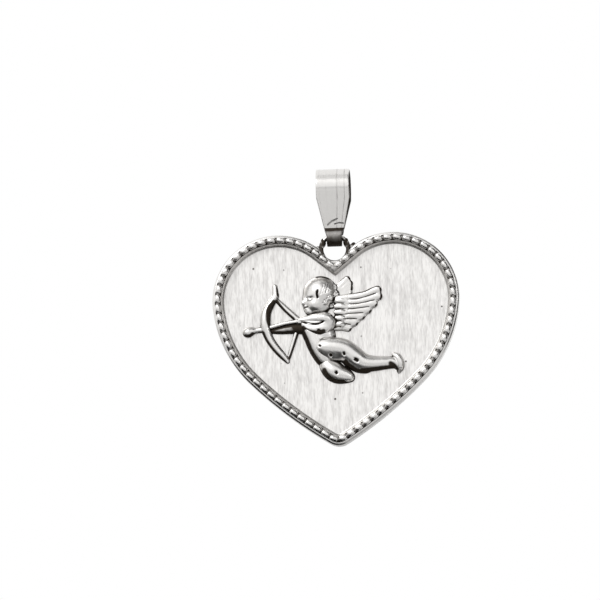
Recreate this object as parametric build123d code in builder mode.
from build123d import *

import math
import os

# A silver heart charm on a folded bail, with a flying cupid in relief. Sizes are in millimetres.
# X runs across the heart, +Z up to the bail, and the front faces -Y.
# The origin is the middle of the bail's upper loop, where the chain passes.

# Heart outline, measured from the centre of the eye
heart_width = 20.0
lobe_radius = 5.35
cleft_drop = 1.01
shoulder_radius = 10.0
shoulder_angle = 5.0
side_angle = 45.0
tip_drop = 16.25
tip_round = 1.3
cleft_slope = 39.0

# Plate and rim
plate_thickness = 0.8
rim_width = 0.93
rim_height = 1.35
rim_edge_bevel = 0.1
ledge_width = 0.2
cove_width = 0.23

# Beaded border
bead_width = 0.5
bead_length = 0.72
bead_pitch = 0.77
bead_end_width = 0.26
bead_barrel_length = 0.3
bead_taper = 36.0
bead_crest = 0.45
bead_seat_depth = 0.09
bead_core_width = 0.34

# Eye, soldered into the cleft
eye_radius = 1.105
eye_wire_radius = 0.19
eye_wire_side_count = 16
eye_setback = 0.9
solder_gap = 0.03
solder_height = 0.3

# Bail, one strap folded round the chain and round the eye
loop_radius = 1.15
strap_thickness = 0.33
bail_length = 4.08
bail_width = 2.75
bail_pinch_width = 1.65
link_width = 1.2
taper_start = 0.95
link_slack = 0.05
link_clearance = 0.07
fold_gap = 0.04

# Cupid: the figure is laid out in heads
head_height = 3.0
head_left = 1.3
head_drop = 3.62
feather_height = 0.52
feather_step_height = 0.045
covert_rise = 0.12
far_wing_height = 0.3
string_height = 0.26
crease_width = 0.03
overrun = 1.5

# Each row is across, up, lift off the plate and radius, as shares of the head's height
torso_shares = [
    (-0.13, -0.71, -0.10, 0.267),
    (-0.21, -0.98, -0.12, 0.340),
    (-0.02, -1.31, -0.12, 0.347),
    (0.09, -1.64, -0.12, 0.333),
    (0.18, -1.84, -0.12, 0.267),
]
forearm_shares = [
    (-0.56, -0.75, 0.09, 0.053),
    (-0.50, -0.73, 0.11, 0.093),
    (-0.32, -0.71, 0.11, 0.113),
    (-0.08, -0.68, 0.13, 0.150),
    (0.15, -0.70, 0.13, 0.177),
    (0.27, -0.78, 0.10, 0.140),
]
upper_arm_shares = [
    (0.28, -0.79, 0.08, 0.133),
    (0.09, -0.94, 0.10, 0.180),
    (-0.15, -0.97, 0.10, 0.173),
    (-0.39, -0.90, 0.07, 0.133),
]
far_arm_shares = [
    (-1.35, -0.98, -0.01, 0.073),
    (-1.05, -0.96, 0.00, 0.113),
    (-0.78, -0.93, 0.01, 0.140),
    (-0.51, -0.93, 0.02, 0.153),
]
near_leg_shares = [
    (0.07, -1.40, 0.02, 0.200),
    (0.19, -1.46, 0.04, 0.273),
    (0.34, -1.49, 0.05, 0.293),
    (0.61, -1.54, 0.04, 0.287),
    (0.87, -1.73, 0.02, 0.287),
    (1.12, -1.90, 0.01, 0.253),
    (1.40, -1.94, 0.00, 0.213),
    (1.67, -1.93, 0.00, 0.187),
    (1.93, -1.92, 0.00, 0.160),
]
foot_shares = [
    (1.93, -1.73, 0.03, 0.067),
    (2.02, -1.81, 0.05, 0.107),
    (2.10, -1.98, 0.05, 0.113),
    (2.13, -2.13, 0.04, 0.093),
    (2.11, -2.24, 0.02, 0.060),
]
far_leg_shares = [
    (0.12, -1.84, -0.03, 0.167),
    (0.32, -2.09, -0.05, 0.293),
    (0.45, -2.18, -0.05, 0.273),
    (0.63, -2.25, -0.04, 0.200),
    (0.80, -2.30, -0.03, 0.127),
    (0.89, -2.34, -0.01, 0.080),
]
stave_shares = [
    (-1.21, 0.23, 0.01, 0.067),
    (-1.20, 0.08, 0.02, 0.083),
    (-1.21, -0.04, 0.02, 0.097),
    (-1.35, -0.24, 0.02, 0.115),
    (-1.45, -0.47, 0.03, 0.130),
    (-1.49, -0.69, 0.03, 0.140),
    (-1.47, -0.94, 0.03, 0.133),
    (-1.38, -1.18, 0.03, 0.117),
    (-1.23, -1.43, 0.03, 0.110),
    (-1.04, -1.65, 0.02, 0.097),
    (-0.91, -1.82, 0.01, 0.057),
]
arrow_head_shares = [
    (-2.04, -1.02, 0.01, 0.047),
    (-1.97, -1.00, 0.02, 0.123),
    (-1.89, -0.97, 0.02, 0.113),
    (-1.80, -0.95, 0.03, 0.073),
]
shaft_shares = [
    (-1.85, -0.96, 0.02, 0.073),
    (-1.30, -0.88, 0.03, 0.087),
    (-0.97, -0.80, 0.05, 0.090),
    (-0.57, -0.75, 0.07, 0.083),
]

# Rows of across and up, as shares of the head's height, and the radii that go with them
string_radius_share = 0.055
feather_root_radius_share = 0.087
feather_end_radius_share = 0.097
string_shares = [(-1.20, -0.09), (-0.54, -0.75), (-0.89, -1.78)]
feather_root_shares = [
    (0.47, -0.15),
    (0.48, -0.27),
    (0.48, -0.40),
    (0.47, -0.53),
    (0.45, -0.66),
    (0.41, -0.80),
    (0.39, -0.93),
]
feather_end_shares = [
    (1.57, 0.07),
    (1.61, -0.12),
    (1.46, -0.32),
    (1.29, -0.48),
    (1.11, -0.64),
    (0.91, -0.80),
    (0.73, -0.96),
]
covert_root_shares = [
    (0.42, -0.21),
    (0.42, -0.41),
    (0.42, -0.61),
    (0.40, -0.81),
]
covert_end_shares = [
    (0.71, -0.18),
    (0.71, -0.40),
    (0.67, -0.60),
    (0.59, -0.81),
]
far_root_shares = [
    (0.47, 0.09),
    (0.51, 0.00),
    (0.60, -0.08),
]
far_end_shares = [
    (0.74, 0.37),
    (0.81, 0.22),
    (0.79, 0.04),
]

# Head: skull, cheek, chin and nose, then the ring of curls
head_shares = [
    (0.02, 0.02, -0.14, 0.49),
    (-0.18, -0.26, -0.04, 0.30),
    (-0.33, -0.44, 0.02, 0.13),
    (-0.46, -0.26, 0.05, 0.07),
]
curl_count = 5
curl_start_angle = -52.0
curl_end_angle = 72.0
curl_ring_share = 0.36
curl_lift_share = 0.10
curl_radius_share = 0.13

# Heights are counted from the eye's own plane towards the front
back_height = -eye_setback
plate_front = back_height + plate_thickness
ledge_height = back_height + rim_height
bead_seat = ledge_height - bead_seat_depth
bead_base = ledge_height + bead_crest - bead_width / 2

# Where the bail's lower loop holds the eye's wire
wire_half_angle = math.asin(link_width / 2 / eye_radius)
wire_drop = eye_radius * (1 - math.cos(wire_half_angle))
wire_half_height = eye_wire_radius / math.cos(wire_half_angle)
hinge_rise = eye_radius - wire_drop / 2
link_radius = wire_drop / 2 + wire_half_height + link_slack + link_clearance
link_outer_radius = link_radius + strap_thickness
link_rise = hinge_rise - link_slack
loop_outer_radius = loop_radius + strap_thickness

link_z = -bail_length
eye_z = link_z - link_rise
pinch_z = link_z + link_outer_radius
eye_seat_radius = eye_radius + eye_wire_radius + solder_gap

heart_plane = Plane(origin=(0, 0, eye_z), x_dir=(1, 0, 0), z_dir=(0, -1, 0))
relief_plane = heart_plane.offset(plate_front)

print("eye centre z", round(eye_z, 4), "hinge z", round(eye_z + hinge_rise, 4))
print("lower loop radius", round(link_radius, 4), "pinch z", round(pinch_z, 4))


def direction(angle):
    """A unit vector that many degrees below +X, in the heart's plane."""
    return Vector(math.cos(math.radians(angle)), -math.sin(math.radians(angle)))


def heart_section(inset, height, inner_inset=None):
    """Sketch the heart at a height, inset from its outer edge, with an optional inner heart cut out."""
    with BuildSketch(heart_plane.offset(height)) as section:
        heart_face(inset)
        if inner_inset is not None:
            heart_face(inner_inset, Mode.SUBTRACT)
    return section.sketch


def heart_face(inset, mode=Mode.ADD):
    """Add the heart's face to the sketch: straight cleft, round lobe, shoulder arc and long side arc."""
    # The cleft's line is tangent to the lobe, so the lobe's height follows from the cleft's place
    slope = math.radians(cleft_slope)
    lobe_across = heart_width / 2 - lobe_radius
    lobe = Vector(lobe_across, lobe_across * math.tan(slope) - lobe_radius / math.cos(slope) - cleft_drop)
    lobe_middle_angle = (shoulder_angle - 90 - cleft_slope) / 2
    cleft_end = lobe + direction(-90 - cleft_slope) * (lobe_radius - inset)
    cleft = Vector(0, cleft_end.Y - cleft_end.X * math.tan(slope))
    shoulder = lobe + direction(shoulder_angle) * (lobe_radius - inset)
    shoulder_centre = lobe - direction(shoulder_angle) * (shoulder_radius - lobe_radius)
    side_start = shoulder_centre + direction(side_angle) * (shoulder_radius - inset)

    # The side arc is tangent to the shoulder and aims at the tip, so its radius follows from both
    to_tip = Vector(0, -tip_drop) - shoulder_centre - direction(side_angle) * shoulder_radius
    side_radius = -to_tip.dot(to_tip) / (2 * to_tip.dot(direction(side_angle)))
    side_centre = shoulder_centre - direction(side_angle) * (side_radius - shoulder_radius)
    tip_rise = math.copysign(math.sqrt((side_radius - tip_round) ** 2 - side_centre.X**2), side_radius)
    tip_centre = Vector(0, side_centre.Y - tip_rise)
    side_end = side_centre + (tip_centre - side_centre).normalized() * abs(side_radius - inset)

    with BuildLine() as outline:
        Line(cleft, cleft_end)
        lobe_middle = lobe + direction(lobe_middle_angle) * (lobe_radius - inset)
        lobe_arc = ThreePointArc(cleft_end, lobe_middle, shoulder)
        shoulder_arc = TangentArc(shoulder, side_start, tangent=lobe_arc % 1)
        side_arc = TangentArc(side_start, side_end, tangent=shoulder_arc % 1)
        TangentArc(side_end, tip_centre - Vector(0, tip_round - inset), tangent=side_arc % 1)
        mirror(about=Plane.YZ)
    make_face(outline.edges(), mode=mode)


def figure_place(across, up):
    """A place of the relief in the heart's plane, given in heads from the middle of the head."""
    return (across * head_height - head_left, up * head_height - head_drop)


def figure_point(across, up, lift):
    """A point of the relief at a lift off the plate, given in heads."""
    return relief_plane.from_local_coords(Vector(*figure_place(across, up), lift * head_height))


def limb(section_shares):
    """Loft a rounded limb through circles that stand square to its line."""
    centres = [figure_point(*row[:3]) for row in section_shares]
    sections = []
    for i, row in enumerate(section_shares):
        before = centres[max(i - 1, 0)]
        after = centres[min(i + 1, len(centres) - 1)]
        with BuildSketch(Plane(origin=centres[i], x_dir=(0, 1, 0), z_dir=after - before)) as section:
            Circle(row[3] * head_height)
        sections.append(section.sketch)
    loft(sections, ruled=True)


def ball(across, up, lift, radius):
    """A rounded mass of the head."""
    with Locations(figure_point(across, up, lift)):
        Sphere(radius * head_height)


def capsule(first, second, spare=0):
    """The outline round two discs, each given by its centre and radius."""
    with BuildSketch() as outline:
        for centre, radius in (first, second):
            with Locations(centre):
                Circle(radius + spare)
        make_hull()
    return outline.sketch


def outline_of(*share_tables):
    """Sketch the outline of a form that lies in front, with a crease round it."""
    with BuildSketch(relief_plane) as outline:
        for section_shares in share_tables:
            discs = [(figure_place(*row[:2]), row[3] * head_height) for row in section_shares]
            for first, second in zip(discs, discs[1:]):
                add(capsule(first, second, crease_width))
    return outline.sketch


def clear_of(*outlines):
    """Stop the part that is being built at the outlines of the forms in front of it."""
    for outline in outlines:
        extrude(outline, amount=overrun, both=True, mode=Mode.SUBTRACT)


def keep_on_plate():
    """Stop the part that is being built at the foot of the rim."""
    extrude(heart_section(rim_width, plate_front), amount=overrun, mode=Mode.INTERSECT)


def feathers(root_shares, end_shares, spare=0):
    """The outlines of a fan of feathers, in order from its leading edge."""
    outlines = []
    for root, end in zip(root_shares, end_shares):
        first = (figure_place(*root), feather_root_radius_share * head_height)
        second = (figure_place(*end), feather_end_radius_share * head_height)
        with BuildSketch(relief_plane) as outline:
            add(capsule(first, second, spare))
        outlines.append(outline.sketch)
    return outlines


def fan(root_shares, end_shares, height):
    """Raise a fan of feathers, each a step lower than the one before."""
    for i, outline in enumerate(feathers(root_shares, end_shares)):
        extrude(outline, amount=height - i * feather_step_height)


# Plate: the brushed field that the relief stands on
with BuildPart() as heart_plate:
    extrude(heart_section(rim_width, back_height), amount=plate_thickness)

# Rim: the raised band round the plate, with a cove inside, a ledge outside and a bead seat
with BuildPart() as rim_band:
    extrude(heart_section(0, back_height), amount=rim_height - rim_edge_bevel)
    loft(
        [heart_section(0, ledge_height - rim_edge_bevel), heart_section(rim_edge_bevel, ledge_height)],
        ruled=True,
    )
    extrude(heart_section(rim_width, back_height), amount=plate_thickness, mode=Mode.SUBTRACT)
    loft(
        [heart_section(rim_width, plate_front), heart_section(rim_width - cove_width, ledge_height)],
        ruled=True,
        mode=Mode.SUBTRACT,
    )
    extrude(
        heart_section(ledge_width, bead_seat, ledge_width + bead_width),
        amount=overrun,
        mode=Mode.SUBTRACT,
    )
    with BuildSketch(heart_plane):
        Circle(eye_seat_radius)
    extrude(amount=eye_setback + overrun, both=True, mode=Mode.SUBTRACT)

# Bead: a pillow with sloping sides, narrower at both ends
with BuildPart() as bead:
    with BuildSketch():
        with BuildLine():
            Polyline(
                (bead_length / 2, 0),
                (bead_length / 2, bead_end_width / 2),
                (bead_barrel_length / 2, bead_width / 2),
                (-bead_barrel_length / 2, bead_width / 2),
                (-bead_length / 2, bead_end_width / 2),
                (-bead_length / 2, 0),
            )
            mirror(about=Plane.XZ)
        make_face()
    extrude(amount=bead_width / 2, taper=bead_taper)

# Border: the beads follow the rim on one low core that lies in its seat
with BuildPart() as bead_border:
    centre_inset = ledge_width + bead_width / 2
    core_inset = centre_inset - bead_core_width / 2
    core_height = bead_base - bead_seat
    extrude(heart_section(core_inset, bead_seat, core_inset + bead_core_width), amount=core_height)
    bead_line = heart_section(centre_inset, bead_base).face().outer_wire()
    bead_count = round(bead_line.length / bead_pitch)
    middle_points = bead_line.vertices().sort_by(lambda vertex: abs(vertex.X))[:2]
    cleft_point = middle_points.sort_by(Axis.Z)[-1]
    start = bead_line.param_at_point(cleft_point)
    places = []
    for i in range(bead_count):
        share = (start + (i + 0.5) / bead_count) % 1
        place = Plane(origin=bead_line @ share, x_dir=bead_line % share, z_dir=heart_plane.z_dir)
        places.append(place.location)
    with Locations(*places):
        add(bead.part)
    with BuildSketch(heart_plane):
        Circle(eye_seat_radius)
    extrude(amount=eye_setback + overrun, both=True, mode=Mode.SUBTRACT)

# Eye: a round wire ring that stands in the heart's plane
with BuildPart() as eye_ring:
    with BuildSketch(Plane(origin=heart_plane.origin, x_dir=(1, 0, 0), z_dir=(0, 0, 1))):
        with Locations((eye_radius, 0)):
            RegularPolygon(eye_wire_radius, eye_wire_side_count)
    revolve(axis=Axis(heart_plane.origin, heart_plane.z_dir))

# Solder: a collar that fills the gap between the ring and its seat in the rim
with BuildPart() as eye_solder:
    with BuildSketch(Plane(origin=heart_plane.origin, x_dir=(1, 0, 0), z_dir=(0, 0, 1))):
        wire_reach = eye_radius + math.sqrt(eye_wire_radius**2 - (solder_height / 2) ** 2)
        with BuildLine():
            ThreePointArc(
                (wire_reach, solder_height / 2),
                (eye_radius + eye_wire_radius, 0),
                (wire_reach, -solder_height / 2),
            )
            Polyline(
                (wire_reach, -solder_height / 2),
                (eye_seat_radius, -solder_height / 2),
                (eye_seat_radius, solder_height / 2),
                (wire_reach, solder_height / 2),
            )
        make_face()
    revolve(axis=Axis(heart_plane.origin, heart_plane.z_dir))
    extrude(heart_section(0, -solder_height), amount=2 * solder_height, mode=Mode.INTERSECT)

# Bail: the strap's side view is a wide loop pinched to a small one, and its front view tapers
with BuildPart() as bail_strap:
    with BuildSketch(Plane.YZ):
        Circle(loop_outer_radius)
        with Locations((0, pinch_z)):
            Circle(strap_thickness)
        make_hull()
    with BuildSketch(Plane.YZ):
        with Locations((0, link_z)):
            Circle(link_outer_radius)
    extrude(amount=bail_width, both=True)
    with BuildSketch(Plane.YZ):
        Circle(loop_radius)
        with Locations((0, pinch_z)):
            Circle(fold_gap)
        make_hull()
    with BuildSketch(Plane.YZ):
        with Locations((0, link_z)):
            Circle(link_radius)
    extrude(amount=bail_width, both=True, mode=Mode.SUBTRACT)
    with BuildSketch(Plane.XZ):
        with BuildLine():
            Polyline(
                (0, loop_outer_radius + overrun),
                (bail_width / 2, loop_outer_radius + overrun),
                (bail_width / 2, -taper_start),
                (bail_pinch_width / 2, pinch_z),
                (link_width / 2, link_z),
                (link_width / 2, link_z - link_outer_radius - overrun),
                (0, link_z - link_outer_radius - overrun),
            )
            mirror(about=Plane.YZ)
        make_face()
    extrude(amount=loop_outer_radius + overrun, both=True, mode=Mode.INTERSECT)

# Head: skull, cheek, chin and nose, with curls round the back
with BuildPart() as cherub_head:
    for row in head_shares:
        ball(*row)
    for i in range(curl_count):
        angle = curl_start_angle + (curl_end_angle - curl_start_angle) * i / (curl_count - 1)
        curl = direction(-angle) * curl_ring_share
        ball(curl.X, curl.Y, curl_lift_share, curl_radius_share)
    split(bisect_by=relief_plane, keep=Keep.TOP)
head_outline = outline_of(head_shares)

# Arm: bent at the elbow, with the forearm before the upper arm and the hand on the string
forearm_outline = outline_of(forearm_shares)
arm_outline = outline_of(forearm_shares, upper_arm_shares)
with BuildPart() as cherub_arm:
    limb(upper_arm_shares)
    clear_of(forearm_outline)
    limb(forearm_shares)
    split(bisect_by=relief_plane, keep=Keep.TOP)
    clear_of(head_outline)

# Near leg: thigh, knee and shin, with the foot across the ankle
near_leg_outline = outline_of(near_leg_shares)
with BuildPart() as cherub_near_leg:
    limb(foot_shares)
    clear_of(near_leg_outline)
    limb(near_leg_shares)
    split(bisect_by=relief_plane, keep=Keep.TOP)
    keep_on_plate()

# Far leg: a bent knee with the shin tucked behind
with BuildPart() as cherub_far_leg:
    limb(far_leg_shares)
    split(bisect_by=relief_plane, keep=Keep.TOP)
    clear_of(near_leg_outline)

# Torso: chest and belly, behind the arm and the thighs
with BuildPart() as cherub_torso:
    limb(torso_shares)
    split(bisect_by=relief_plane, keep=Keep.TOP)
    clear_of(head_outline, arm_outline, near_leg_outline, outline_of(far_leg_shares, far_arm_shares))
torso_outline = outline_of(torso_shares)

# Near wing: long feathers in a fan, with short coverts at the root
with BuildPart() as near_wing:
    fan(feather_root_shares, feather_end_shares, feather_height)
    fan(covert_root_shares, covert_end_shares, feather_height + covert_rise)
    clear_of(head_outline, arm_outline, torso_outline, near_leg_outline)

# Far wing: the feather tips that show behind the head
with BuildPart() as far_wing:
    fan(far_root_shares, far_end_shares, far_wing_height)
    clear_of(head_outline, *feathers(feather_root_shares, feather_end_shares, crease_width))
    clear_of(*feathers(covert_root_shares, covert_end_shares, crease_width))

# Bow: a round stave with a nock at its top
with BuildPart() as bow_stave:
    limb(stave_shares)
    split(bisect_by=relief_plane, keep=Keep.TOP)
stave_outline = outline_of(stave_shares)

# Far arm: held out behind the arrow to the bow
far_arm_outline = outline_of(far_arm_shares)
shaft_outline = outline_of(shaft_shares)
with BuildPart() as cherub_far_arm:
    limb(far_arm_shares)
    split(bisect_by=relief_plane, keep=Keep.TOP)
    clear_of(stave_outline, arm_outline, shaft_outline)

# String: drawn to a corner at the hand
with BuildPart() as bow_string:
    string_radius = string_radius_share * head_height
    discs = [(figure_place(*row), string_radius) for row in string_shares]
    for first, second in zip(discs, discs[1:]):
        with BuildSketch(relief_plane):
            add(capsule(first, second))
        extrude(amount=string_height)
    clear_of(outline_of(stave_shares, forearm_shares, upper_arm_shares, far_arm_shares, shaft_shares))

# Arrow: its head shows before the stave and ends at the plate's edge at most, and its shaft runs
# from the stave to the string
with BuildPart() as arrow:
    limb(arrow_head_shares)
    limb(shaft_shares)
    split(bisect_by=relief_plane, keep=Keep.TOP)
    clear_of(stave_outline, arm_outline)
    keep_on_plate()

sub_parts = {
    "bail_strap": bail_strap,
    "heart_plate": heart_plate,
    "rim_band": rim_band,
    "bead_border": bead_border,
    "eye_ring": eye_ring,
    "eye_solder": eye_solder,
    "cherub_head": cherub_head,
    "cherub_torso": cherub_torso,
    "cherub_arm": cherub_arm,
    "cherub_far_arm": cherub_far_arm,
    "cherub_near_leg": cherub_near_leg,
    "cherub_far_leg": cherub_far_leg,
    "near_wing": near_wing,
    "far_wing": far_wing,
    "bow_stave": bow_stave,
    "bow_string": bow_string,
    "arrow": arrow,
}
os.makedirs("parts", exist_ok=True)
for name, sub_part in sub_parts.items():
    sub_part.part.label = name
    export_step(sub_part.part, f"parts/{name}.step")
    print(name, len(sub_part.part.solids()), "solids,", round(sub_part.part.volume, 3), "mm3")
